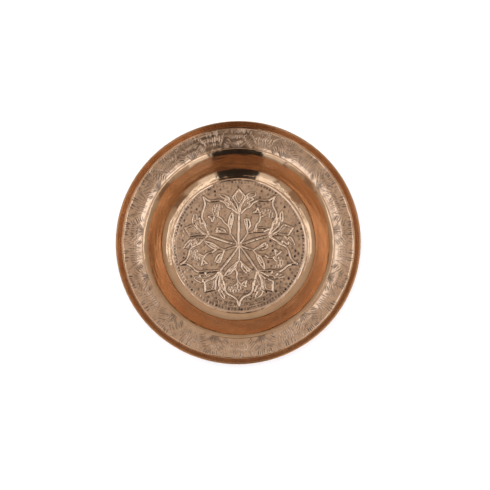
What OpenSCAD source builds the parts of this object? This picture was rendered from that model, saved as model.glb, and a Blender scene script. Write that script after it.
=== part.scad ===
// Hand-raised copper tray: one sheet worked into a floor, cove, wall, shoulder, rim and upturned lip,
// with its edge rolled outward round a stiffening wire. Millimetres, +Z up, origin at the centre of
// the underside, on the surface that the tray stands on.

/* [Sheet] */
// Radius of the tray, over its rolled edge
outer_r = 140; // [139:0.5:142]
// Thickness of the sheet
sheet = 0.6; // [0.5:0.1:0.9]
// Radius of the flat floor, out to the crease round the flower
floor_r = 78; // [74:0.5:79]
// Slope of the wall of the well, in degrees
wall_slope = 48.5; // [44:0.5:54]
// Slope of the flared rim, in degrees
rim_slope = 8; // [5:1:10]
// Slope of the upturned lip, in degrees
lip_slope = 56; // [46:1:60]

/* [Edge] */
// Diameter of the wire in the rolled edge
wire_d = 1; // [0.8:0.1:1.6]
// How far the sheet wraps round the wire, in degrees
wrap = 270; // [220:10:280]

/* [Relief] */
// Height of the flower's ridges above the floor
ridge_h = 0.8; // [0.4:0.1:1.2]
// Width of a main ridge, on a stem or round a petal
ridge_w = 2.2; // [1.6:0.1:2.8]
// Width of a fine ridge, on a bud or a leaf
fine_w = 1.4; // [1:0.1:1.8]

/* [Hidden] */
$fn = 96;
petals = 5;
// Distance from the centre to the node where a stem meets the petals beside it
node_r = 37.5;
// Gap left between the wire and the sheet round it
wire_gap = 0.03;
// Radius of the hollow inside the rolled edge, and of the roll itself
roll_in = wire_d / 2 + wire_gap;
roll_out = roll_in + sheet;
// Radius at which the lip runs into its roll
lip_r = outer_r - roll_out * (1 + sin(lip_slope));
// The sheet's upper face from the centre out: [radius, slope in degrees]. Slopes blend in between.
stations = [
  [floor_r - 0.4, 0], [floor_r + 0.6, 17], [80.5, 20.5], [83.4, 25.5], [86.2, 33.5], [88.8, 43],
  [90.6, wall_slope], [104, wall_slope], [105.8, 43], [107.7, 33.5], [110, 23], [113.5, 15.5],
  [118, rim_slope + 3.5], [122, rim_slope], [132.6, rim_slope], [133.4, 28], [134.2, lip_slope],
  [lip_r, lip_slope]
];
// Straight steps that one blend between two stations is cut into
steps = 4;

// Radius and slope along the upper face, every blend cut into steps
function face_stops() = [
  for (i = [0 : len(stations) - 2], s = [0 : steps - 1])
    stations[i] + (stations[i + 1] - stations[i]) * s / steps,
  stations[len(stations) - 1]
];
// The rise over one step, from the mean of the slopes at its ends
function rise(a, b) = (b[0] - a[0]) * tan((a[1] + b[1]) / 2);
// The upper face as [radius, height, slope]
function upper_face() =
  let (q = face_stops())
  [for (i = 0, z = sheet; i < len(q);
        z = z + (i + 1 < len(q) ? rise(q[i], q[i + 1]) : 0), i = i + 1)
    [q[i][0], z, q[i][1]]];
// The point a given depth below the upper face, square to it
function below(p, depth) = [p[0] + depth * sin(p[2]), p[1] - depth * cos(p[2])];
// Points on a circle round c, from angle a to angle b
function arc(c, r, a, b, n) = [for (i = [0 : n]) c + r * [cos(a + (b - a) * i / n), sin(a + (b - a) * i / n)]];

face = upper_face();
lip_end = face[len(face) - 1];
roll_centre = below(lip_end, roll_out);
roll_start = 90 + lip_slope;

// The tray's section: underside out to the lip, round the roll and back, then the upper face home
module section() {
  polygon(concat(
    [[0, 0]],
    [for (p = face) below(p, sheet)],
    arc(roll_centre, roll_in, roll_start, roll_start - wrap, 24),
    arc(roll_centre, roll_out, roll_start - wrap, roll_start, 24),
    [for (i = [len(face) - 2 : -1 : 0]) [face[i][0], face[i][1]]],
    [[0, sheet]]
  ));
}

// A smooth curve through the points, each span cut into n straight steps
function smooth(p, n = 3) = [
  for (i = [0 : len(p) - 2], s = [0 : n - 1])
    let (a = p[max(i - 1, 0)], b = p[i], c = p[i + 1], d = p[min(i + 2, len(p) - 1)], t = s / n)
    b + t * (c - a) / 2 + t * t * (2 * a - 5 * b + 4 * c - d) / 2 + t * t * t * (3 * b - a - 3 * c + d) / 2,
  p[len(p) - 1]
];
// The unit vector square to the curve at point i, on its left
function left_of(p, i) =
  let (d = p[min(i + 1, len(p) - 1)] - p[max(i - 1, 0)]) [-d[1], d[0]] / norm(d);

// A ridge of width w along a smooth curve, seen from above
module ridge(points, w) {
  p = smooth(points);
  polygon(concat(
    [for (i = [0 : len(p) - 1]) p[i] + w / 2 * left_of(p, i)],
    [for (i = [len(p) - 1 : -1 : 0]) p[i] - w / 2 * left_of(p, i)]
  ));
}
// The same ridge on both sides of the X axis
module ridge_pair(points, w) {
  ridge(points, w);
  mirror([0, 1]) ridge(points, w);
}

// One long stem along +X, from the centre to its node, with the three-leafed bud that it carries
module stem_and_bud() {
  ridge([[0, 0], [node_r, 0]], ridge_w);
  ridge_pair([[node_r - 1, 0], [45, 2.6], [51, 6], [58.5, 7], [63, 3.6], [67.5, 0]], fine_w);
  ridge_pair([[node_r - 1, 0], [46, 5.5], [53.5, 9.5], [57, 15], [60, 21]], fine_w);
  ridge_pair([[53.5, 9.5], [60, 12], [63, 18], [60, 21]], fine_w);
}

// The side of one petal, from a stem's node to the petal's point, for a petal along +X
module petal_sides() {
  half = 180 / petals;
  ridge_pair([node_r * [cos(half), sin(half)], [36, 20.5], [41, 19], [45, 16.6], [51.5, 15.6], [56, 12],
              [60, 6], [64, 2.2], [71, 0.4]], ridge_w);
}

// The spray inside one petal along +X: a short stem, two tulips and an S-shaped stem with its flower
module spray() {
  fork = [18, 0];
  ridge([[0, 0], fork], ridge_w);
  ridge_pair([fork, [23, 6.5], [29.5, 13.5]], fine_w);
  ridge_pair([fork, [26, 5.5], [33, 13], [38, 14]], fine_w);
  ridge([fork, [24, 1.5], [31, 0.5], [37, -2.5], [43, -1.5]], fine_w);
  for (a = [-120 : 60 : 120])
    translate([47.5, -1] + 4.2 * [cos(a), sin(a)]) circle(d = 3, $fn = 24);
}

// The flower: everything that repeats round the centre, standing on the floor
module flower() {
  translate([0, 0, sheet / 2]) linear_extrude(sheet / 2 + ridge_h)
    for (k = [0 : petals - 1]) {
      rotate(90 + k * 360 / petals) stem_and_bud();
      rotate(90 + (k + 0.5) * 360 / petals) {
        petal_sides();
        spray();
      }
    }
}

module tray_body() {
  color([0.72, 0.5, 0.38]) {
    rotate_extrude() section();
    flower();
  }
}

module edge_wire() {
  color([0.6, 0.42, 0.3]) rotate_extrude() translate(roll_centre) circle(d = wire_d, $fn = 32);
}

tray_body();
edge_wire();
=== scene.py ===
"""The looks of a hand-raised copper tray, 280 mm across.

The tray is one sheet of copper worked with hammers, punches and chisels. Its skin is made here in four
zones that meet at the sheet's creases: the floor, the well, the rim and the lip. Each zone is a closed
skin laid out by the section of the sheet, and one Geometry Nodes tree then works it as a coppersmith
does: it raises ridges, sinks punch marks, cuts chisel strokes and leaves the unevenness of the hammer.
"""

import logging
import math
from collections.abc import Callable, Iterable, Sequence
from dataclasses import dataclass, field
from enum import Enum
from functools import partial

import bpy
import numpy as np
from mathutils import Matrix, Vector

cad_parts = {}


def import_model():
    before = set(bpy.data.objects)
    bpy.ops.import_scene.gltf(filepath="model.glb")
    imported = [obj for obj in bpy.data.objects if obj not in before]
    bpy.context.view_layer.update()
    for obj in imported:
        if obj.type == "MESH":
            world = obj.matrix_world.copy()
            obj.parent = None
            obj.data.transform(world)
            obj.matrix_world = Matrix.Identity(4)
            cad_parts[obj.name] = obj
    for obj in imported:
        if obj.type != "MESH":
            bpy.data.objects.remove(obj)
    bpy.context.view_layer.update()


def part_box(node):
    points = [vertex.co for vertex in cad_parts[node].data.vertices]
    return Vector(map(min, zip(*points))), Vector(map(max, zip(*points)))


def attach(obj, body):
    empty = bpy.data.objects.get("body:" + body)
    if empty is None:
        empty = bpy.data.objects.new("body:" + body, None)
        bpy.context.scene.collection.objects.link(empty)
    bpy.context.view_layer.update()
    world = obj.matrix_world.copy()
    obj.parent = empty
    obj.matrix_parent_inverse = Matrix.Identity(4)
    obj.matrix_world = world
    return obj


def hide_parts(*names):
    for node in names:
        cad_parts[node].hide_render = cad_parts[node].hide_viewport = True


LOG = logging.getLogger("tray")
MM = 0.001
BODY = "root"
SHEET_NODE = "tray_body"
WIRE_NODE = "edge_wire"

Point2 = tuple[float, float]

# The types of node that the trees use most, and the setting that gives a ramp soft ends.
MATH = "ShaderNodeMath"
VECTOR = "ShaderNodeVectorMath"
NOISE = "ShaderNodeTexNoise"
RAMP = "ShaderNodeMapRange"
READ = "GeometryNodeInputNamedAttribute"
SOFT = {"interpolation_type": "SMOOTHSTEP"}


def linear(hex_code: str) -> tuple[float, float, float, float]:
    """Turns an sRGB hex colour into the linear one that a shader takes.

    Args:
        hex_code: The colour, such as "#C08060".

    Returns:
        Red, green and blue in linear light, and an alpha of 1.
    """
    parts = [int(hex_code[i : i + 2], 16) / 255 for i in (1, 3, 5)]
    red, green, blue = (p / 12.92 if p <= 0.04045 else ((p + 0.055) / 1.055) ** 2.4 for p in parts)
    return red, green, blue, 1.0


def add_node(tree: bpy.types.NodeTree, kind: str, inputs: Sequence | dict = (), out: int | str = 0,
             **settings) -> bpy.types.NodeSocket | None:
    """Adds a node with its settings and links.

    Args:
        tree: The tree that gets the node.
        kind: The node's type name.
        inputs: What goes into its inputs, in order or by name: a socket to link, or a plain value.
        out: The output that is wanted.
        **settings: The node's own properties.

    Returns:
        That output, or None where the node has none.
    """
    made = tree.nodes.new(kind)
    for name, value in settings.items():
        setattr(made, name, value)
    for key, value in (inputs if isinstance(inputs, dict) else dict(enumerate(inputs))).items():
        if isinstance(value, bpy.types.NodeSocket):
            tree.links.new(value, made.inputs[key])
        else:
            made.inputs[key].default_value = value
    return made.outputs[out] if made.outputs else None


def new_tree(name: str, inputs: dict[str, str]) -> tuple[bpy.types.NodeTree, dict]:
    """Starts a Geometry Nodes tree with named inputs and one geometry output.

    Args:
        name: The tree's name.
        inputs: Each input's name, with its kind, such as "Float" or "Object".

    Returns:
        The tree, and the socket that gives each input's value.
    """
    tree = bpy.data.node_groups.new(name, "GeometryNodeTree")
    for label, kind in {"Geometry": "Geometry", **inputs}.items():
        tree.interface.new_socket(label, in_out="INPUT", socket_type=f"NodeSocket{kind}")
    tree.interface.new_socket("Geometry", in_out="OUTPUT", socket_type="NodeSocketGeometry")
    given = tree.nodes.new("NodeGroupInput").outputs
    return tree, {label: given[label] for label in ("Geometry", *inputs)}


def end_tree(tree: bpy.types.NodeTree, geometry: bpy.types.NodeSocket, material: object = None) -> None:
    """Ends a tree with Realize Instances, Set Material and the group's output."""
    coat = {"Geometry": add_node(tree, "GeometryNodeRealizeInstances", (geometry,))}
    if material is not None:
        coat["Material"] = material
    add_node(tree, "NodeGroupOutput", (add_node(tree, "GeometryNodeSetMaterial", coat),))


def run_tree(base: bpy.types.Object, tree: bpy.types.NodeTree,
             values: dict[str, object]) -> bpy.types.Object:
    """Runs a Geometry Nodes tree on an object, and leaves its result as a plain mesh.

    Args:
        base: The object that the tree works on. It is used up.
        tree: The tree.
        values: The value of each named input.

    Returns:
        A new object of the base's name, at the origin, with no modifier.
    """
    work = base.modifiers.new("work", "NODES")
    work.node_group = tree
    for item in tree.interface.items_tree:
        if item.item_type == "SOCKET" and item.in_out == "INPUT" and item.name in values:
            work[item.identifier] = values[item.name]
    graph = bpy.context.evaluated_depsgraph_get()
    mesh = bpy.data.meshes.new_from_object(
        base.evaluated_get(graph), preserve_all_data_layers=True, depsgraph=graph
    )
    name = base.name
    bpy.data.objects.remove(base)
    return place_mesh(name, mesh)


def place_mesh(name: str, mesh: bpy.types.Mesh) -> bpy.types.Object:
    """Puts a mesh into the scene as an object at the origin."""
    mesh.name = name
    made = bpy.data.objects.new(name, mesh)
    bpy.context.scene.collection.objects.link(made)
    return made


def smooth_curve(points: Sequence[Point2], spacing: float) -> np.ndarray:
    """Draws a smooth curve through points.

    Args:
        points: The points, in millimetres.
        spacing: The furthest that two points of the result may lie apart.

    Returns:
        The curve's points, one per row.
    """
    p = np.array(points, float)
    if len(p) == 2:
        steps = max(2, int(np.linalg.norm(p[1] - p[0]) / spacing) + 1)
        return p[0] + (p[1] - p[0]) * np.linspace(0, 1, steps)[:, None]
    out = []
    for i in range(len(p) - 1):
        a, b, c, d = p[max(i - 1, 0)], p[i], p[i + 1], p[min(i + 2, len(p) - 1)]
        steps = max(2, int(np.linalg.norm(c - b) / spacing) + 1)
        t = (np.arange(steps) / steps)[:, None]
        out.append(b + t * (c - a) / 2 + t**2 * (2 * a - 5 * b + 4 * c - d) / 2
                   + t**3 * (3 * b - a - 3 * c + d) / 2)
    return np.vstack([*out, p[-1:]])


@dataclass(frozen=True)
class Section:
    """The section of the sheet, from its centre to the end of its lip, in millimetres and degrees.

    Attributes:
        outer_r: Radius of the tray over its rolled edge.
        sheet: Thickness of the sheet.
        floor_r: Radius of the flat floor, out to its crease.
        shoulder_r: Radius at which the plain wall and shoulder of the well end.
        border_r: Radius of the inner edge of the chiselled border.
        rim_out_r: Radius of the rim's outer edge, where the lip turns up.
        wall_slope: Slope of the wall of the well.
        rim_slope: Slope of the flared rim.
        lip_slope: Slope of the upturned lip.
        roll_in: Radius of the hollow inside the rolled edge.
        wrap: How far the sheet wraps round the wire.
    """

    outer_r: float
    sheet: float = 0.6
    floor_r: float = 78.0
    shoulder_r: float = 110.0
    border_r: float = 113.0
    rim_out_r: float = 132.6
    wall_slope: float = 48.5
    rim_slope: float = 8.0
    lip_slope: float = 56.0
    roll_in: float = 0.53
    wrap: float = 270.0

    @property
    def roll_out(self) -> float:
        """Radius of the rolled edge itself."""
        return self.roll_in + self.sheet

    @property
    def lip_r(self) -> float:
        """Radius at which the lip runs into its roll."""
        return self.outer_r - self.roll_out * (1 + math.sin(math.radians(self.lip_slope)))

    @property
    def cove_r(self) -> float:
        """Radius at which the crease round the floor ends and the cove begins."""
        return self.floor_r + 1.6

    def stations(self) -> list[Point2]:
        """The slope of the upper face at chosen radii; slopes blend in between."""
        floor, wall, rim, lip = self.floor_r, self.wall_slope, self.rim_slope, self.lip_slope
        return [
            (0, 0), (floor - 0.4, 0), (floor + 0.6, 17), (80.5, 20.5), (83.4, 25.5), (86.2, 33.5),
            (88.8, 43), (90.6, wall), (104, wall), (105.8, 43), (107.7, 33.5), (110, 23), (113.5, 15.5),
            (118, rim + 3.5), (122, rim), (self.rim_out_r, rim), (133.4, 28), (134.2, lip),
            (self.lip_r, lip),
        ]

    def face(self, radii: np.ndarray) -> tuple[np.ndarray, np.ndarray]:
        """Finds the upper face at some radii.

        Args:
            radii: The radii, in millimetres.

        Returns:
            The height of the face and its slope in radians, at each radius.
        """
        at, slopes = np.array(self.stations()).T
        fine = np.linspace(0, self.lip_r, 3000)
        slope = np.radians(np.interp(fine, at, slopes))
        steps = np.diff(fine) * np.tan((slope[1:] + slope[:-1]) / 2)
        height = self.sheet + np.concatenate([[0], np.cumsum(steps)])
        return np.interp(radii, fine, height), np.interp(radii, fine, slope)


class Skin:
    """A closed skin of rings of points round the tray's axis, laid along the section of the sheet.

    Every point keeps the unit vector square to the sheet, which points to its upper face ("lift"), how
    far the hammer may move it ("hammer"), whether it is on the upper face ("upper"), and how much darker
    brown colour it shows ("tarnish"): painted shade on the rolled edge, and a darker film under the sheet.
    """

    def __init__(self, name: str, hammer: Callable[[float], float]) -> None:
        """Starts an empty skin.

        Args:
            name: The piece's name.
            hammer: Gives the depth of the hammer's unevenness at a radius, in millimetres.
        """
        self.name = name
        self.hammer = hammer
        self.points: list[np.ndarray] = []
        self.lifts: list[np.ndarray] = []
        self.marks: list[np.ndarray] = []
        self.rings: list[tuple[int, int]] = []
        self.total = 0

    def ring(self, radius: float, height: float, slope: float, count: int, upper: bool,
             tarnish: float = 0.0) -> None:
        """Adds the next ring of the skin.

        Args:
            radius: The ring's radius, in millimetres.
            height: Its height, in millimetres.
            slope: The slope of the sheet there, in radians.
            count: How many points it has; 1 is a pole on the axis.
            upper: Whether it is on the upper face.
            tarnish: How much darker brown colour it shows, from 0 to 1: painted shade on the rolled edge,
                darker film under the sheet.
        """
        turn = np.arange(count) * 2 * math.pi / count
        across, up = -math.sin(slope), math.cos(slope)
        cos, sin = np.cos(turn), np.sin(turn)
        self.points.append(np.c_[radius * cos, radius * sin, np.full(count, height)])
        self.lifts.append(np.c_[across * cos, across * sin, np.full(count, up)])
        self.marks.append(np.tile([self.hammer(radius) * MM, float(upper), tarnish], (count, 1)))
        self.rings.append((self.total, count))
        self.total += count

    def run(self, section: Section, radii: Iterable[float], counts: Iterable[int], upper: bool) -> None:
        """Adds rings along one face of the sheet, at the given radii of the upper face.

        Args:
            section: The section of the sheet.
            radii: Where the rings lie, in millimetres.
            counts: How many points each ring has.
            upper: Whether they are on the upper face, or under it.
        """
        radii = np.array(list(radii), float)
        heights, slopes = section.face(radii)
        for radius, height, slope, count in zip(radii, heights, slopes, counts):
            depth = 0.0 if upper else section.sheet
            # Under the sheet the skin shows the darker brown film at 0.8.
            self.ring(radius + depth * math.sin(slope), height - depth * math.cos(slope), slope, count,
                      upper, 0.0 if upper else 0.8)

    @staticmethod
    def strip(first: tuple[int, int], second: tuple[int, int]) -> list[tuple[int, int, int]]:
        """Joins two rings with triangles, whatever their counts.

        Args:
            first: The first point and the count of one ring.
            second: The same of the next ring along the skin.

        Returns:
            The triangles, which face outwards.
        """
        (a0, n), (b0, m) = first, second
        faces = []
        i = j = 0
        while i < n or j < m:
            if n > 1 and (j >= m or (i < n and (i + 1) / n <= (j + 1) / m)):
                faces.append((a0 + i % n, b0 + j % m, a0 + (i + 1) % n))
                i += 1
            elif m > 1 and j < m:
                faces.append((a0 + i % n, b0 + j % m, b0 + (j + 1) % m))
                j += 1
            else:
                break
        return faces

    def build(self, closed: bool) -> bpy.types.Object:
        """Makes the mesh, in metres.

        Args:
            closed: Whether the last ring joins the first again, as it does where neither is a pole.

        Returns:
            The object, with its lift, hammer, upper and tarnish attributes.
        """
        pairs = list(zip(self.rings, self.rings[1:]))
        if closed:
            pairs.append((self.rings[-1], self.rings[0]))
        faces = [face for pair in pairs for face in self.strip(*pair)]
        mesh = bpy.data.meshes.new(self.name)
        mesh.from_pydata((np.vstack(self.points) * MM).tolist(), [], faces)
        mesh.shade_smooth()
        marks = np.vstack(self.marks)
        mesh.attributes.new("lift", "FLOAT_VECTOR", "POINT").data.foreach_set(
            "vector", np.vstack(self.lifts).ravel())
        for i, name in enumerate(("hammer", "upper", "tarnish")):
            mesh.attributes.new(name, "FLOAT", "POINT").data.foreach_set("value", marks[:, i].copy())
        return place_mesh(self.name, mesh)


@dataclass
class LineWork:
    """Lines that a tool follows on the sheet, as a mesh of edges.

    Attributes:
        name: The name of the mesh.
        spacing: The furthest that two points of a line lie apart, in millimetres.
    """

    name: str
    spacing: float = 0.4
    lines: list[tuple[np.ndarray, ...]] = field(default_factory=list)

    def draw(self, points: Sequence[Point2], width: float, height: float, taper: float = 0.0,
             soil: float = 1.0) -> None:
        """Adds one line.

        Args:
            points: The points it runs through, in millimetres.
            width: The width of its ridge or groove, in millimetres.
            height: How far it stands proud, or below 0 how deep it is cut, in millimetres.
            taper: How much of its width and height it loses at its ends, from 0 to 1.
            soil: How much oxide stays in it, or beside it if it stands proud, from 0 to 1.
        """
        curve = smooth_curve(points, self.spacing)
        along = np.linspace(-1, 1, len(curve))
        share = 1 - taper * np.abs(along) ** 3
        self.lines.append((curve, width / 2 * share * MM, height * share * MM, np.full(len(curve), soil)))

    def pair(self, points: Sequence[Point2], width: float, height: float, taper: float = 0.0) -> None:
        """Adds one line on each side of the X axis."""
        self.draw(points, width, height, taper)
        self.draw([(x, -y) for x, y in points], width, height, taper)

    def build(self, place: Callable[[np.ndarray], np.ndarray]) -> bpy.types.Object:
        """Makes the mesh of edges, in metres.

        Args:
            place: Puts flat points in millimetres on the sheet.

        Returns:
            The object, whose points hold "half_width", "height" and "soil".
        """
        points, edges, start = [], [], 0
        for curve, *_ in self.lines:
            points.append(place(curve))
            edges += [(start + i, start + i + 1) for i in range(len(curve) - 1)]
            start += len(curve)
        mesh = bpy.data.meshes.new(self.name)
        mesh.from_pydata((np.vstack(points) * MM).tolist(), edges, [])
        for name, column in (("half_width", 1), ("height", 2), ("soil", 3)):
            values = np.concatenate([line[column] for line in self.lines])
            mesh.attributes.new(name, "FLOAT", "POINT").data.foreach_set("value", values)
        return place_mesh(self.name, mesh)


def repeat_tree() -> bpy.types.NodeTree:
    """Builds the tree that repeats a motif round the tray's axis and lets each line wander a little."""
    tree, given = new_tree("repeat_round_axis", {
        "Count": "Int", "Wander": "Float", "Wander Scale": "Float", "First Turn": "Float"})
    node = partial(add_node, tree)
    step = node(MATH, (2 * math.pi, given["Count"]), operation="DIVIDE")
    index = node("GeometryNodeInputIndex")
    turn = node(MATH, (index, step, given["First Turn"]), operation="MULTIPLY_ADD")
    placed = node("GeometryNodeInstanceOnPoints", {
        "Points": node("GeometryNodePoints", {"Count": given["Count"]}),
        "Instance": given["Geometry"], "Rotation": node("ShaderNodeCombineXYZ", {"Z": turn})})
    real = node("GeometryNodeRealizeInstances", (placed,))
    noise = node(NOISE, {"Scale": given["Wander Scale"], "Detail": 2.0}, "Color")
    centred = node(VECTOR, (noise, (0.5, 0.5, 0.5)), operation="SUBTRACT")
    flat = node(VECTOR, (centred, (2.0, 2.0, 0.0)), operation="MULTIPLY")
    offset = node(VECTOR, {0: flat, "Scale": given["Wander"]}, operation="SCALE")
    end_tree(tree, node("GeometryNodeSetPosition", {"Geometry": real, "Offset": offset}))
    return tree


def punch_tree() -> bpy.types.NodeTree:
    """Builds the tree that spreads punch marks over a plate, clear of the lines drawn on it."""
    tree, given = new_tree("punched_ground", {
        "Lines": "Object", "Spacing": "Float", "Clear": "Float", "Smooth Centre": "Float", "Fray": "Float",
        "Edge Row Radius": "Float", "Row Gap": "Float", "Row Pitch": "Float", "Stray": "Vector",
        "Seed": "Int"})
    node = partial(add_node, tree)
    spread = node("GeometryNodeDistributePointsOnFaces", {
        "Mesh": given["Geometry"], "Distance Min": given["Spacing"], "Density Max": 4e5,
        "Seed": given["Seed"]}, "Points", distribute_method="POISSON")
    place = node("GeometryNodeInputPosition")
    from_axis = node(VECTOR, (place,), "Value", operation="LENGTH")
    lines = node("GeometryNodeObjectInfo", {"Object": given["Lines"]}, "Geometry")
    near = node("GeometryNodeProximity", (lines,), "Distance", target_element="EDGES")
    # The smooth centre ends raggedly, and the free marks stop short of the even row along the crease.
    patchy = node(NOISE, {"Scale": 45.0, "Detail": 0.0})
    inner_edge = node(MATH, (patchy, given["Fray"], given["Smooth Centre"]), operation="MULTIPLY_ADD")
    row_edge = node(MATH, (given["Edge Row Radius"], given["Row Gap"]), operation="SUBTRACT")
    drop = node(MATH, (near, given["Clear"]), operation="LESS_THAN")
    for test, limit in (("LESS_THAN", inner_edge), ("GREATER_THAN", row_edge)):
        outside = node(MATH, (from_axis, limit), operation=test)
        drop = node(MATH, (drop, outside), operation="MAXIMUM")
    kept = node("GeometryNodeDeleteGeometry", {"Geometry": spread, "Selection": drop}, domain="POINT")
    circle = node("GeometryNodeCurvePrimitiveCircle", {
        "Resolution": 128, "Radius": given["Edge Row Radius"]})
    row = node("GeometryNodeCurveToPoints", {"Curve": circle, "Length": given["Row Pitch"]}, mode="LENGTH")
    least = node(VECTOR, {0: given["Stray"], "Scale": -1.0}, operation="SCALE")
    jitter = node("FunctionNodeRandomValue", {
        "Min": least, "Max": given["Stray"], "Seed": given["Seed"]}, data_type="FLOAT_VECTOR")
    strayed = node("GeometryNodeSetPosition", {"Geometry": row, "Offset": jitter})
    both = node("GeometryNodeJoinGeometry", (kept,))
    tree.links.new(strayed, both.node.inputs[0])
    end_tree(tree, node("GeometryNodePointsToVertices", {"Points": both}))
    return tree


def work_tree() -> bpy.types.NodeTree:
    """Builds the tree that works a zone of the sheet: ridges or cuts, punch marks and hammer marks."""
    tree, given = new_tree("worked_sheet", {
        "Lines": "Object", "Line Share Below": "Float", "Punches": "Object", "Punch Radius": "Float",
        "Punch Depth": "Float", "Hammer Scale": "Float", "Ripple Share": "Float", "Worked Reach": "Float",
        "Material": "Material"})
    node = partial(add_node, tree)
    upper, hammer = (node(READ, {"Name": name}, data_type="FLOAT") for name in ("upper", "hammer"))
    lift = node(READ, {"Name": "lift"}, data_type="FLOAT_VECTOR")
    lines = node("GeometryNodeObjectInfo", {"Object": given["Lines"]}, "Geometry")
    away = node("GeometryNodeProximity", (lines,), "Distance", target_element="EDGES")
    nearest = node("GeometryNodeSampleNearest", (lines,), domain="POINT")
    half_width, height, soil = (
        node("GeometryNodeSampleIndex", {
            "Geometry": lines, "Value": node(READ, {"Name": name}, data_type="FLOAT"),
            "Index": nearest}) for name in ("half_width", "height", "soil"))

    # A share of 0 is on the line and 1 is at the edge of its rounded ridge, outside which lies a moat.
    share = node(MATH, (away, half_width), operation="DIVIDE")
    crest = node(RAMP, (share, 0.0, 1.0, 1.0, 0.0), **SOFT)
    beyond = node(MATH, (share, 1.45), operation="SUBTRACT")
    from_moat = node(MATH, (beyond,), operation="ABSOLUTE")
    moat = node(RAMP, (from_moat, 0.2, 0.65, 1.0, 0.0), **SOFT)
    line_height = node(MATH, (moat, -0.18, crest), operation="MULTIPLY_ADD")
    below = given["Line Share Below"]
    rest = node(MATH, (1.0, below), operation="SUBTRACT")
    line_share = node(MATH, (upper, rest, below), operation="MULTIPLY_ADD")
    pressed = node(NOISE, {"Scale": 75.0, "Detail": 1.0})
    pressure = node(RAMP, (pressed, 0.3, 0.65, 0.55, 1.15), **SOFT)
    for factor in (height, line_share, pressure):
        line_height = node(MATH, (line_height, factor), operation="MULTIPLY")

    # A blow of the punch leaves a shallow bowl with a dark pit in it, and no two blows are equal.
    punches = node("GeometryNodeObjectInfo", {"Object": given["Punches"]}, "Geometry")
    to_punch = node("GeometryNodeProximity", (punches,), "Distance", target_element="POINTS")
    reach = node(MATH, (to_punch, given["Punch Radius"]), operation="DIVIDE")
    valid = node(MATH, (upper, to_punch.node.outputs["Is Valid"]), operation="MULTIPLY")
    struck = node(NOISE, {"Scale": 230.0, "Detail": 0.0})
    force = node(RAMP, (struck, 0.3, 0.7, 0.55, 1.2), **SOFT)
    blow = node(MATH, (valid, force), operation="MULTIPLY")
    bowl, pit = (node(MATH, (node(RAMP, (reach, *edges, 1.0, 0.0), **SOFT), blow), operation="MULTIPLY")
                 for edges in ((0.2, 1.0), (0.4, 0.9)))
    sunk = node(MATH, (bowl, given["Punch Depth"]), operation="MULTIPLY")

    # Hammer blows leave rounds; the stake under the shoulder leaves long low ripples round the axis.
    place = node("GeometryNodeInputPosition")
    broad = node(NOISE, {"Scale": given["Hammer Scale"], "Detail": 2.0, "Roughness": 0.5})
    flat = node(VECTOR, (place, (1.0, 1.0, 0.0)), operation="MULTIPLY")
    from_axis = node(VECTOR, (flat,), "Value", operation="LENGTH")
    outward = node(MATH, (from_axis, 17.0), operation="MULTIPLY")
    outward = node("ShaderNodeCombineXYZ", {"Z": outward})
    drawn_out = node(VECTOR, (flat, outward), operation="ADD")
    ripple = node(NOISE, {"Vector": drawn_out, "Scale": 24.0, "Detail": 2.0})
    both = node(MATH, (ripple, given["Ripple Share"], broad), operation="MULTIPLY_ADD")
    middle = node(MATH, (given["Ripple Share"], 0.5, 0.5), operation="MULTIPLY_ADD")
    uneven = node(MATH, (both, middle), operation="SUBTRACT")
    for factor in (2.0, hammer):
        uneven = node(MATH, (uneven, factor), operation="MULTIPLY")

    worked_by = node(MATH, (line_height, sunk), operation="SUBTRACT")
    worked_by = node(MATH, (worked_by, uneven), operation="ADD")
    # Under the sheet no place is pushed down, so that the tray still rests on its flat floor.
    least = node(MATH, (upper, -1.0), operation="MULTIPLY")
    total = node(MATH, (worked_by, least), operation="MAXIMUM")
    offset = node(VECTOR, {0: lift, "Scale": total}, operation="SCALE")

    # The finishes read how high or how deep the tool left each place.
    proud = node(MATH, (height, 0.0), operation="GREATER_THAN")
    sunken = node(MATH, (1.0, proud), operation="SUBTRACT")
    crown = node(RAMP, (share, 0.5, 1.1, 1.0, 0.0), **SOFT)
    raised = node(MATH, (crown, proud), operation="MULTIPLY")
    channel = node(RAMP, (share, 0.4, 1.0, 1.0, 0.0), **SOFT)
    groove = node(MATH, (channel, sunken), operation="MULTIPLY")
    beside = node(MATH, (moat, proud), operation="MULTIPLY")
    cut = node(MATH, (groove, beside), operation="MAXIMUM")
    cut = node(MATH, (cut, soil), operation="MULTIPLY")
    tooled = node(MATH, (away, given["Worked Reach"]), operation="DIVIDE")
    worked = node(RAMP, (tooled, 0.2, 1.0, 1.0, 0.0), **SOFT)
    geometry = given["Geometry"]
    for name, value in (("raised", raised), ("cut", cut), ("punched", pit), ("worked", worked)):
        on_top = node(MATH, (value, upper), operation="MULTIPLY")
        geometry = node("GeometryNodeStoreNamedAttribute", {
            "Geometry": geometry, "Name": name, "Value": on_top}, data_type="FLOAT", domain="POINT")
    moved = node("GeometryNodeSetPosition", {"Geometry": geometry, "Offset": offset})
    end_tree(tree, moved, given["Material"])
    return tree


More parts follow.
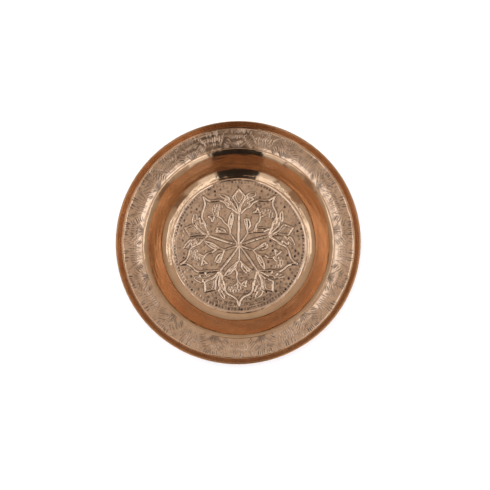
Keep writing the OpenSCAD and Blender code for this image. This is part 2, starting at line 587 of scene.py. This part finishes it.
@dataclass(frozen=True)
class Copper:
    """Polished sheet copper, as one zone of the tray shows it.

    Copper reflects red fully and blue by half, so it has no colour of its own but tints what it mirrors.
    Oxide gathers where a cloth doesn't reach, so the tooling stays dark and the ridges are bright.

    Attributes:
        name: The finish, in a maker's words.
        bright: The colour of freshly rubbed metal.
        worn: The colour where a thin brown film has come back.
        patina: The colour of the grey-brown film that stays between tool marks.
        oxide: The colour in the bottom of marks.
        roughness: How dull the polish is.
        film: How much of the surface the brown film covers, from 0 to 1.
        ground: How much patina stays between the tool marks, from 0 to 1.
        scratch: Depth of the fine scratches of polishing, in millimetres.
    """

    name: str
    bright: str = "#FBCFAB"
    worn: str = "#E6B48A"
    patina: str = "#B08C74"
    oxide: str = "#40302C"
    roughness: float = 0.16
    film: float = 0.5
    ground: float = 0.0
    scratch: float = 0.01

    def build(self) -> bpy.types.Material:
        """Makes the material.

        Returns:
            The material, which reads Object coordinates, the marks that the tools left, and the painted
            shade of the rolled edge.
        """
        material = bpy.data.materials.new(self.name)
        material.use_nodes = True
        tree = material.node_tree
        node = partial(add_node, tree)
        shader = tree.nodes["Principled BSDF"]
        shader.inputs["Metallic"].default_value = 1.0
        place = node("ShaderNodeTexCoord", out="Object")
        marks = {name: node("ShaderNodeAttribute", out="Fac", attribute_name=name)
                 for name in ("raised", "cut", "punched", "worked", "tarnish")}
        # Soft patches of noise: each has its scale, in 1 / metre, and the ramp that picks it out.
        patches = {"film": (55.0, 0.35, 0.7, 0.0, self.film), "patina": (130.0, 0.42, 0.62, 0.15, 1.0),
                   "oxide": (45.0, 0.42, 0.58, 0.25, 1.0), "grain": (300.0, 0.35, 0.6, 0.6, 1.0)}
        clouds = {}
        for name, (scale, *ramp) in patches.items():
            noise = node(NOISE, {"Vector": place, "Scale": scale, "Detail": 4.0, "Roughness": 0.6})
            clouds[name] = node(RAMP, (noise, *ramp), **SOFT)

        # Film in clouds 15 to 30 mm across, as handling and an uneven rub leave it; ridges are rubbed bare.
        rubbed = node(MATH, (1.0, marks["raised"]), operation="SUBTRACT")
        # The tarnish mark puts painted shade on the rolled edge and a darker film under the sheet.
        film = node(MATH, (clouds["film"], marks["tarnish"]), operation="MAXIMUM")
        film = node(MATH, (film, rubbed), operation="MULTIPLY")
        # Patina in patches about 8 mm across, wherever the sheet was worked.
        patina = clouds["patina"]
        for factor in (marks["worked"], rubbed, self.ground):
            patina = node(MATH, (patina, factor), operation="MULTIPLY")
        # Oxide in the marks, broken up at about 3 mm so that no two marks are alike.
        dark = node(MATH, (marks["punched"], clouds["oxide"]), operation="MULTIPLY")
        dark = node(MATH, (marks["cut"], dark), operation="MAXIMUM")
        dark = node(MATH, (dark, clouds["grain"]), operation="MULTIPLY")
        colour, rough = linear(self.bright), self.roughness
        for share, hue, dulling in ((film, self.worn, 0.08), (patina, self.patina, 0.08),
                                    (dark, self.oxide, 0.16)):
            colour = node("ShaderNodeMix", {0: share, 6: colour, 7: linear(hue)}, 2, data_type="RGBA")
            rough = node(MATH, (share, dulling, rough), operation="MULTIPLY_ADD")
        # Scratches of the polishing cloth are finer than 0.1 mm; they are drawn 0.5 mm apart to show.
        fine = node(NOISE, {"Vector": place, "Scale": 1900.0, "Detail": 2.0})
        bump = node("ShaderNodeBump", {"Height": fine, "Distance": self.scratch * MM, "Strength": 1.0})
        for label, value in (("Base Color", colour), ("Roughness", rough), ("Normal", bump)):
            tree.links.new(value, shader.inputs[label])
        return material


class Finish(Enum):
    """The finishes of the tray's zones."""

    PUNCHED_FLOOR = Copper("copper_punched_floor", roughness=0.11, film=0.5, ground=0.5)
    PLANISHED_WELL = Copper("copper_planished_well", bright="#F6C69C", worn="#DCA67A", roughness=0.09,
                            film=0.45)
    CHASED_RIM = Copper("copper_chased_rim", bright="#F6C9A5", worn="#DCAA81", roughness=0.13, ground=0.55)
    # Partly painted shade: the lip's darker colours and heavy brown film stand for its own film and also
    # for the shade of its inter-reflections with the rim.
    TURNED_LIP = Copper("copper_turned_lip", bright="#DEAA80", worn="#BC8557", roughness=0.16, film=0.75)
    DRAWN_WIRE = Copper("copper_drawn_wire", roughness=0.3, film=1.0)


@dataclass
class Flower:
    """The flower on the floor, in millimetres: line work that repeats round the tray's axis.

    Attributes:
        section: The section of the sheet that it stands on.
        petals: How many times it repeats.
        node_r: Distance from the centre to the node where a stem meets the petals beside it.
        main: Width of a main ridge.
        fine: Width of a fine ridge.
        main_height: Height of a main ridge.
        fine_height: Height of a fine ridge.
        wander: How far the tool strays from the drawn line.
    """

    section: Section
    petals: int = 5
    node_r: float = 37.5
    main: float = 2.4
    fine: float = 1.9
    main_height: float = 0.52
    fine_height: float = 0.42
    wander: float = 1.3

    def stem_and_bud(self, work: LineWork) -> None:
        """Draws a long stem along +X, from the centre to its node, and the bud that it carries."""
        node = self.node_r
        work.draw([(1, 0), (16, 0.5), (node, 0)], self.main, self.main_height, 0.3)
        work.pair([(node, 0), (43.5, 0.8), (48.6, 2), (53, 4.8), (56.8, 6.9), (58.2, 7), (62, 3.8),
                   (66.4, 0)], self.fine, self.main_height)
        work.pair([(50.5, 0), (54.8, 2.8), (58.8, 4.2), (62.4, 2.4), (64.8, 0)],
                  1.0, self.fine_height * 0.7)
        # The leaf on the left ends in a long tip; the one on the right is a full lens.
        left = [[(node, 0.6), (44, 4.2), (50.6, 7.6), (53.6, 11.4), (56.4, 11.6), (59.4, 17.4),
                 (60.8, 23.6)],
                [(node - 1, 1.2), (43, 7.8), (47.6, 12.8), (49.2, 10.6), (52.6, 17), (54.6, 14.8),
                 (57.4, 20.8), (60.8, 23.6)]]
        right = [[(node, -0.6), (46.5, -2.4), (53, -6), (56.4, -10.2), (59.6, -9.4), (61.8, -13.6),
                  (62, -19.6)],
                 [(node - 1, -1.2), (43.4, -8.2), (48.6, -13), (50.4, -10.6), (54.4, -16.8), (56.4, -14.6),
                  (59, -19.4), (62, -19.6)]]
        for edge in left + right:
            work.draw(edge, self.fine, self.fine_height, 0.5)
        for i in range(5):
            work.draw([(46 + 2.4 * i, -6.4 - 1.5 * i), (49.4 + 2.3 * i, -6.9 - 1.5 * i)], 0.9, 0.35, 0.7)
            work.draw([(45.5 + 2.6 * i, 6.6 + 2.1 * i), (48.3 + 2.3 * i, 7.6 + 1.9 * i)], 0.9, 0.35, 0.7)

    def petal(self, work: LineWork) -> None:
        """Draws the two sides of a petal along +X, from the nodes of its stems to its own point."""
        half = math.pi / self.petals
        node = (self.node_r * math.cos(half), self.node_r * math.sin(half))
        work.pair([node, (34.5, 20.4), (39.6, 19.2), (44.4, 16.8), (51.5, 15.8), (56.4, 12.6), (60.4, 6),
                   (64.6, 2.2), (71, 0.2)], self.main * 0.9, self.main_height)

    def spray(self, work: LineWork) -> None:
        """Draws the spray inside a petal along +X: a tulip, a leaf and a bent stem with its flowers."""
        fork = (17.6, 0)
        work.draw([(2, 0), fork], self.main * 0.8, self.main_height, 0.3)
        tulip = [[fork, (20.6, 3.4), (24.5, 8.4), (28.2, 13.2)], [(20.6, 3.4), (26.4, 3.4), (32.6, 9)],
                 [(28.2, 13.2), (29.4, 10.2), (30.6, 11.4), (31.2, 8.8), (32.6, 9)],
                 [(22.5, 4.6), (29.6, 10)]]
        leaf = [[fork, (22, -3.6), (28, -5.2), (33.4, -10.6), (36.6, -17.6)],
                [(22, -3.8), (25.4, -8), (30, -13), (36.6, -17.6)], [(25.6, -6), (31.6, -11.6)]]
        stem = [[fork, (22.8, -3.2), (27.2, -3.6), (32, -2.2), (37.4, -2.6), (42, -0.8), (45, 2)],
                [(45, 2), (48.8, 8.2), (45.2, 7.4), (41.6, 8.4), (45, 2.6)]]
        for line in tulip + leaf + stem:
            work.draw(line, self.fine, self.fine_height, 0.3)
        self.carnation(work)

    def carnation(self, work: LineWork) -> None:
        """Draws the flower of many round lobes near a petal's point, with its calyx."""
        centre, lobe = (48.4, -4.6), 1.9
        for angle in range(-75, 106, 36):
            turn = math.radians(angle)
            hub = (centre[0] + 5.2 * math.cos(turn), centre[1] + 5.2 * math.sin(turn))
            circle = [(hub[0] + lobe * math.cos(math.radians(a)), hub[1] + lobe * math.sin(math.radians(a)))
                      for a in range(0, 361, 60)]
            work.draw(circle, 1.1, self.fine_height * 0.8)
            work.draw([(centre[0] - 1.6, centre[1]), hub], 0.9, self.fine_height * 0.5, 0.4)
        work.draw([(42, -0.8), (45, -2.6), (46.8, -4.6)], self.fine, self.fine_height, 0.4)

    def lines(self) -> bpy.types.Object:
        """Draws the whole flower and the crease round it.

        Returns:
            The line work, laid on the floor.
        """
        sector = LineWork("flower_sector")
        self.stem_and_bud(sector)
        between = LineWork("petal_sector")
        self.petal(between)
        self.spray(between)
        half = math.pi / self.petals
        turn = np.array([[math.cos(half), math.sin(half)], [-math.sin(half), math.cos(half)]])
        sector.lines += [(curve @ turn, *values) for curve, *values in between.lines]
        # One stretch of the crease: a fifth of the ring that closes round the floor.
        radius = self.section.floor_r + 0.3
        arc = [(radius * math.cos(a), radius * math.sin(a)) for a in np.linspace(0, 2 * half, 25)]
        sector.draw(arc, 2.6, 0.42, soil=0.0)
        height = self.section.sheet
        work = sector.build(lambda p: np.c_[p, np.full(len(p), height)])
        return run_tree(work, repeat_tree(), {
            "Count": self.petals, "Wander": self.wander * MM, "Wander Scale": 45.0,
            "First Turn": math.pi / 2})


@dataclass
class RimBorder:
    """The chiselled border of the rim, in millimetres along the band and out from its inner edge.

    Attributes:
        section: The section of the sheet that it is cut into.
        repeats: How many times the motif repeats round the rim.
        stroke: Width of a chisel stroke.
        depth: Depth of a chisel stroke.
        pitch: Distance between the strokes of a hatched field.
        wander: How far the strokes stray from an even pattern.
        hand: Makes the strokes uneven, with a fixed seed.
    """

    section: Section
    repeats: int = 13
    stroke: float = 1.6
    depth: float = 0.18
    pitch: float = 2.7
    wander: float = 1.9
    hand: np.random.Generator = field(default_factory=lambda: np.random.default_rng(11))

    @property
    def middle_r(self) -> float:
        """Radius of the middle of the band."""
        return (self.section.border_r + self.section.rim_out_r) / 2

    @property
    def half_period(self) -> float:
        """Half of the motif's length along the middle of the band."""
        return math.pi * self.middle_r / self.repeats

    def cut(self, work: LineWork, points: Sequence[Point2], soil: float = 1.0, fine: bool = False) -> None:
        """Cuts one chisel stroke, a little off its place and of uneven weight as a hand leaves it.

        Args:
            work: The line work that gets the stroke.
            points: The points it runs through.
            soil: How much oxide stays in it, at most.
            fine: Whether it is cut with the narrow chisel.
        """
        nudge = self.hand.uniform(-0.45, 0.45, (len(points), 2))
        weight = self.hand.uniform(0.6, 1.1)
        width = self.stroke * (0.7 if fine else 1.0)
        work.draw((np.array(points) + nudge).tolist(), width, -self.depth * weight, 0.7,
                  min(1.0, soil * weight))

    def block(self, work: LineWork) -> None:
        """Cuts the field of upright strokes that fills the band, deepest at its two edges."""
        for i in range(-3, 4):
            x, lean = self.pitch * i, 0.9 * math.sin(2.4 * i)
            self.cut(work, [(x + 0.3, 1.6 + lean), (x + 0.5, 6.4 - lean)], 0.6, fine=True)
            self.cut(work, [(x + 0.9, 7.2 + lean), (x + 0.2, 12.4 - lean)], 0.5, fine=True)
            if i % 3:
                self.cut(work, [(x, 13.6 - lean), (x - 0.5, 18.8)])

    def leaf(self, work: LineWork, side: float) -> None:
        """Cuts the leaf beside the block: slanting strokes on each side of a bare spine."""
        roots = [(10.4, 2), (11, 4.4), (12.2, 6.8), (14, 9), (16.2, 11.2), (18.6, 13.2)]
        for k, (x, y) in enumerate(roots):
            self.cut(work, [(side * (x + 1.4), y - 0.4), (side * (x + 4), y - 1.8),
                            (side * (x + 6.4 + 0.2 * k), y - 4.4)], 0.8, fine=k % 2 == 0)
            self.cut(work, [(side * (x - 0.6), y + 2), (side * (x - 0.8), min(y + 6, 19))], 0.5, fine=True)

    def fan(self, work: LineWork) -> None:
        """Cuts the fan that opens from the inner edge, halfway between two blocks, and ticks above it."""
        middle = self.half_period
        for i in range(-4, 5):
            self.cut(work, [(middle + 0.7 * i, -3.4), (middle + 1.5 * i, 1),
                            (middle + 2.6 * i, 5.4 - 0.3 * abs(i))], 0.7, fine=i % 2 == 0)
        for i in range(-3, 4):
            self.cut(work, [(middle + 2.4 * i, 18.9), (middle + 2.1 * i, 14.6 - 1.2 * math.cos(1.9 * i))])
            self.cut(work, [(middle + 2.5 * i + 1.2, 8), (middle + 2.2 * i + 0.8, 11.6)], 0.7, fine=True)

    def lines(self) -> bpy.types.Object:
        """Cuts the whole border.

        Returns:
            The line work, laid on the rim.
        """
        motif = LineWork("border_motif")
        self.block(motif)
        for side in (-1.0, 1.0):
            self.leaf(motif, side)
        self.fan(motif)
        # One stretch of the bead that closes the border below the lip.
        bead = [(x, 19.1) for x in np.linspace(-self.half_period, self.half_period, 9)]
        motif.draw(bead, 1.8, 0.2, soil=0.0)

        def on_rim(flat: np.ndarray) -> np.ndarray:
            """Bends the flat band round the rim."""
            turn = flat[:, 0] / self.middle_r
            radius = self.section.border_r + flat[:, 1]
            return np.c_[radius * np.cos(turn), radius * np.sin(turn), self.section.face(radius)[0]]

        return run_tree(motif.build(on_rim), repeat_tree(), {
            "Count": self.repeats, "Wander": self.wander * MM, "Wander Scale": 75.0,
            "First Turn": math.radians(-90.0)})


@dataclass
class Sheet:
    """The sheet of copper, in its four zones.

    Attributes:
        section: The section of the sheet, in millimetres.
        hammer_depth: How uneven the planishing hammer leaves the cove and the shoulder, in millimetres.
    """

    section: Section
    hammer_depth: float = 0.24

    def hammer(self, radius: float) -> float:
        """The depth of the hammer's unevenness at a radius: most in the cove and on the shoulder."""
        s = self.section
        most = self.hammer_depth
        stops = {0.0: 0.12, s.floor_r - 4: 0.1, s.cove_r + 3: most, 90.0: 0.06, 103.0: 0.06, 106.0: most,
                 s.border_r: most, s.border_r + 6: 0.1, s.lip_r: 0.07, s.outer_r: 0.03}
        return float(np.interp(radius, list(stops), list(stops.values())))

    def floor(self) -> bpy.types.Object:
        """Lays out the floor: a plate of rings that each hold six more points than the last."""
        s = self.section
        skin = Skin("tray_floor", self.hammer)
        edge = s.floor_r - 0.4
        for rings, upper in ((160, True), (60, False)):
            outside = np.linspace(edge, s.cove_r, 6)[1:]
            radii = np.concatenate([np.linspace(0, edge, rings + 1), outside])
            counts = [1] + [6 * k for k in range(1, rings + 1)] + [6 * rings] * len(outside)
            order = slice(None) if upper else slice(None, None, -1)
            skin.run(s, radii[order], counts[order], upper)
        return skin.build(closed=False)

    def band(self, name: str, inner: float, outer: float, top: tuple[float, int],
             under: tuple[float, int]) -> bpy.types.Object:
        """Lays out a closed band of the sheet between two radii.

        Args:
            name: The piece's name.
            inner: The inner radius, in millimetres.
            outer: The outer radius, in millimetres.
            top: Spacing of the rings on the upper face, in millimetres, and points in each.
            under: The same for the underside.

        Returns:
            The band.
        """
        skin = Skin(name, self.hammer)
        for (spacing, count), upper in ((top, True), (under, False)):
            steps = int((outer - inner) / spacing) + 1
            radii = np.linspace(inner, outer, steps + 1)
            skin.run(self.section, radii if upper else radii[::-1], [count] * (steps + 1), upper)
        return skin.build(closed=True)

    def lip(self) -> bpy.types.Object:
        """Lays out the lip with its edge rolled outward and under, round the wire."""
        s = self.section
        skin = Skin("tray_lip", self.hammer)
        count = 960
        radii = np.linspace(s.rim_out_r, s.lip_r, 15)
        skin.run(s, radii, [count] * len(radii), True)
        height, slope = (float(v) for v in s.face(np.array(s.lip_r)))
        centre = (s.lip_r + s.roll_out * math.sin(slope), height - s.roll_out * math.cos(slope))
        start, sweep = math.pi / 2 + slope, math.radians(s.wrap)
        for radius, steps, upper in ((s.roll_out, 18, True), (s.roll_in, 12, False)):
            turns = np.linspace(0, sweep, steps + 1)
            for turn in turns[1:] if upper else turns[::-1][:-1]:
                a = start - turn
                # Painted shade: the rolled edge turns darker brown as it curls outward and under, where it
                # would mirror the bright floor; inside the roll the film stays at 0.8.
                tarnish = 0.9 * min(1.0, turn / 1.2) if upper else 0.8
                skin.ring(centre[0] + radius * math.cos(a), centre[1] + radius * math.sin(a),
                          a - math.pi / 2, count, upper, tarnish)
        skin.run(s, radii[::-2], [count] * len(radii[::-2]), False)
        return skin.build(closed=True)


@dataclass
class Studio:
    """The pale floor, the soft lights, the dark cards that copper needs to read as metal, and the camera.

    Attributes:
        centre: The middle of the tray, in metres.
        size: The tray's width, in metres.
        tilt: How far the camera leans from straight overhead, in degrees.
        side: The bearing that it leans to, in degrees from +X.
        distance: How far it stands from the tray, in metres.
        frame_share: The share of the frame's width that the tray takes up.
        aim: How far off the tray's middle it looks, in metres.
    """

    centre: Vector
    size: float
    tilt: float = 7.3
    side: float = -77.0
    distance: float = 1.6
    frame_share: float = 0.5012
    aim: tuple[float, float] = (0.0081, -0.0044)

    def camera(self) -> None:
        """Sets the camera almost overhead, with the tray's +Y up the picture."""
        tilt, side = math.radians(self.tilt), math.radians(self.side)
        towards = Vector((math.sin(tilt) * math.cos(side), math.sin(tilt) * math.sin(side), math.cos(tilt)))
        target = self.centre + Vector((*self.aim, 0.0))
        up = (Vector((0, 1, 0)) - towards * towards.y).normalized()
        turn = Matrix((up.cross(towards), up, towards)).transposed()
        data = bpy.data.cameras.new("camera")
        data.sensor_width = 36.0
        data.lens = data.sensor_width * self.distance / (self.size / self.frame_share)
        camera = bpy.data.objects.new("camera", data)
        camera.matrix_world = Matrix.Translation(target + towards * self.distance) @ turn.to_4x4()
        bpy.context.scene.collection.objects.link(camera)
        bpy.context.scene.camera = camera

    @staticmethod
    def turned(place: Vector, facing: Vector) -> Matrix:
        """Where a flat thing stands whose +Z side faces a point."""
        return Matrix.Translation(place) @ (facing - place).to_track_quat("Z", "Y").to_matrix().to_4x4()

    def card(self, name: str, corners: Sequence[tuple[float, float, float]], colour: str,
             seen: bool = False) -> None:
        """Stands one matt card in the studio.

        Args:
            name: The card's name.
            corners: Its corners, in metres.
            colour: Its colour.
            seen: Whether it is the floor, which shows, or a card that is only mirrored.
        """
        mesh = bpy.data.meshes.new(name)
        mesh.from_pydata(corners, [], [list(range(len(corners)))])
        made = place_mesh(name, mesh)
        made.visible_camera = seen
        made.visible_diffuse = seen
        made.visible_shadow = seen
        material = bpy.data.materials.new(f"{name}_card")
        material.use_nodes = True
        shader = material.node_tree.nodes["Principled BSDF"]
        shader.inputs["Base Color"].default_value = linear(colour)
        shader.inputs["Roughness"].default_value = 0.9
        mesh.materials.append(material)

    def level(self, name: str, outline: Sequence[Point2], height: float, colour: str,
              seen: bool = False) -> None:
        """Hangs or lays a card level, with its outline seen from above in metres."""
        self.card(name, [(x, y, height) for x, y in outline], colour, seen)

    def upright(self, name: str, degrees: float, away: float, width: float, span: tuple[float, float],
                colour: str) -> None:
        """Stands a card upright, facing the tray.

        Args:
            name: The card's name.
            degrees: Its bearing from +X.
            away: How far it stands from the axis, in metres.
            width: Its width, in metres.
            span: The heights of its lower and upper edge, in metres.
            colour: Its colour.
        """
        middle, turn = self.bearing(degrees, away, 0.0), math.radians(degrees + 90)
        half = Vector((math.cos(turn), math.sin(turn), 0)) * width / 2
        low, high = (Vector((0, 0, z)) for z in span)
        self.card(name, [middle - half + low, middle + half + low, middle + half + high,
                         middle - half + high], colour)

    @staticmethod
    def bearing(degrees: float, away: float, height: float) -> Vector:
        """The point at a bearing from +X, a distance from the axis and a height, in metres."""
        turn = math.radians(degrees)
        return Vector((away * math.cos(turn), away * math.sin(turn), height))

    def softbox(self, name: str, place: Vector, facing: Vector, size: tuple[float, float], radiance: float,
                mirrored: bool = True) -> None:
        """Sets one soft light of daylight colour.

        Args:
            name: The light's name.
            place: Its middle, in metres.
            facing: The point that it faces.
            size: Its width and height, in metres.
            radiance: How bright its face is.
            mirrored: Whether the copper mirrors it, or it only lights the floor.
        """
        data = bpy.data.lights.new(name, "AREA")
        data.shape = "RECTANGLE"
        data.size, data.size_y = size
        data.energy = radiance * math.pi * size[0] * size[1]
        data.color = linear("#CDE6FF" if mirrored else "#FFFFFF")[:3]
        light = bpy.data.objects.new(name, data)
        light.matrix_world = self.turned(place, place * 2 - facing)
        light.visible_glossy = mirrored
        light.visible_camera = False
        bpy.context.scene.collection.objects.link(light)

    def room(self) -> None:
        """Paints the world: a pale grey ceiling that darkens towards the horizon."""
        world = bpy.data.worlds.new("room")
        world.use_nodes = True
        tree = world.node_tree
        way = add_node(tree, "ShaderNodeTexCoord", out="Generated")
        up = add_node(tree, "ShaderNodeSeparateXYZ", (way,), "Z")
        glow = add_node(tree, RAMP, (up, 0.05, 0.75, 0.32, 0.47), **SOFT)
        tree.links.new(glow, tree.nodes["Background"].inputs[1])
        tree.nodes["Background"].inputs[0].default_value = (1.0, 0.98, 0.95, 1.0)
        bpy.context.scene.world = world

    def build(self) -> None:
        """Sets up the whole studio."""
        bpy.context.scene.view_settings.view_transform = "Standard"
        self.room()
        tray = self.centre
        # The floor lies a hair below the tray, so that the two faces never share a plane.
        self.level("studio_floor", [(-4, -4), (4, -4), (4, 4), (-4, 4)], -0.0003, "#F6F6F6", seen=True)
        # Behind the camera: a black card to the side, and overhead the shape of the operator.
        overhead = 1.88
        self.upright("black_card", -91.5, 1.0, 0.7, (0.06, 1.75), "#0D0A08")
        self.level("dark_card", [(-0.17, 0.085), (0.01, 0.085), (0.04, 0.02), (0.18, 0.02), (0.18, -0.2),
                                 (-0.1, -0.2)], overhead, "#1E1916")
        self.level("grey_card", [(-0.1, -0.2), (0.18, -0.2), (0.2, -1.15), (-0.3, -1.15)], overhead,
                   "#544A43")
        # Long boxes overhead at each side, a small one beyond each, and slats that part their light.
        down, height = Vector((0, 0, -1)), 1.2
        for side, name, near, far in ((-1, "left", -1.25, 0.55), (1, "right", -1.25, 0.25)):
            for part, x, y, size in (("box", 0.69, (near + far) / 2, (0.8, far - near)),
                                     ("far_box", 1.42, 0.08, (0.7, 0.8))):
                place = Vector((side * x, y, height))
                self.softbox(f"{name}_{part}", place, place + down, size, 1.16 + 0.08 * side)
            for k, edges in enumerate(((0.6, 0.68), (0.8, 0.89), (1.0, 1.12))):
                inner, outer = (side * x for x in edges)
                self.level(f"{name}_slat_{k}", [(inner, near), (outer, near), (outer, far), (inner, far)],
                           height - 0.01, "#857A6F")
        for name, bearing, width, radiance in (("left_low_box", 241.0, 0.6, 0.4),
                                               ("right_low_box", 297.5, 0.46, 0.6)):
            self.softbox(name, self.bearing(bearing, 1.5, 0.85), tray, (width, 0.9), radiance)
        for name, bearing, width, top, colour in (("left_stand", 212.0, 0.2, 1.0, "#7A6A5E"),
                                                  ("middle_stand", 232.5, 0.04, 1.0, "#5A4C42"),
                                                  ("right_stand", 329.0, 0.22, 0.96, "#6A5A4E")):
            self.upright(name, bearing, 0.85, width, (0.08, top), colour)
        self.softbox("top_fill", Vector((0, 0, 2.4)), tray, (2.6, 2.6), 3.6, mirrored=False)
        self.camera()


def main() -> None:
    """Builds the tray's looks round the CAD frame."""
    logging.basicConfig(level=logging.INFO, format="%(name)s: %(message)s")
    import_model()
    low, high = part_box(SHEET_NODE)
    section = Section(outer_r=(high.x - low.x) / 2 / MM)
    sheet = Sheet(section)
    flower_lines = Flower(section).lines()
    border_lines = RimBorder(section).lines()

    edge_row = (section.floor_r - 3.2) * MM
    around = [math.radians(a) for a in range(0, 360, 6)]
    plate = bpy.data.meshes.new("punch_plate")
    corners = [(edge_row * math.cos(a), edge_row * math.sin(a), section.sheet * MM) for a in around]
    plate.from_pydata(corners, [], [list(range(len(corners)))])
    punches = run_tree(place_mesh("punches", plate), punch_tree(), {
        "Lines": flower_lines, "Spacing": 4.4 * MM, "Clear": 2.5 * MM, "Smooth Centre": 21.0 * MM,
        "Fray": 24.0 * MM, "Edge Row Radius": edge_row, "Row Gap": 2.6 * MM, "Row Pitch": 3.8 * MM,
        "Stray": (0.5 * MM, 0.5 * MM, 0.0), "Seed": 7})

    tree = work_tree()
    zones = [
        (sheet.floor(), Finish.PUNCHED_FLOOR, flower_lines, punches),
        (sheet.band("tray_well", section.cove_r, section.shoulder_r, (0.6, 900), (1.6, 360)),
         Finish.PLANISHED_WELL, flower_lines, None),
        (sheet.band("tray_rim", section.shoulder_r, section.rim_out_r, (0.66, 2400), (1.9, 600)),
         Finish.CHASED_RIM, border_lines, None),
        (sheet.lip(), Finish.TURNED_LIP, border_lines, None),
    ]
    for skin, finish, lines, marks in zones:
        piece = run_tree(skin, tree, {
            "Lines": lines, "Line Share Below": 0.8 if lines is flower_lines else 0.0, "Punches": marks,
            "Punch Radius": 2.3 * MM, "Punch Depth": 0.12 * MM, "Hammer Scale": 70.0, "Ripple Share": 0.9,
            "Worked Reach": (30.0 if finish is Finish.PUNCHED_FLOOR else 2.0) * MM,
            "Material": finish.value.build()})
        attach(piece, BODY)
        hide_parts(SHEET_NODE)
        LOG.info("%s: %d faces, %s", piece.name, len(piece.data.polygons), finish.value.name)
    for helper in (flower_lines, border_lines, punches):
        bpy.data.objects.remove(helper)

    wire = bpy.data.objects[WIRE_NODE]
    for slot in wire.material_slots:
        slot.material = Finish.DRAWN_WIRE.value.build()
    Studio(Vector((0, 0, high.z)), high.x - low.x).build()
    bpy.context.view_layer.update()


if __name__ == "__main__":
    main()
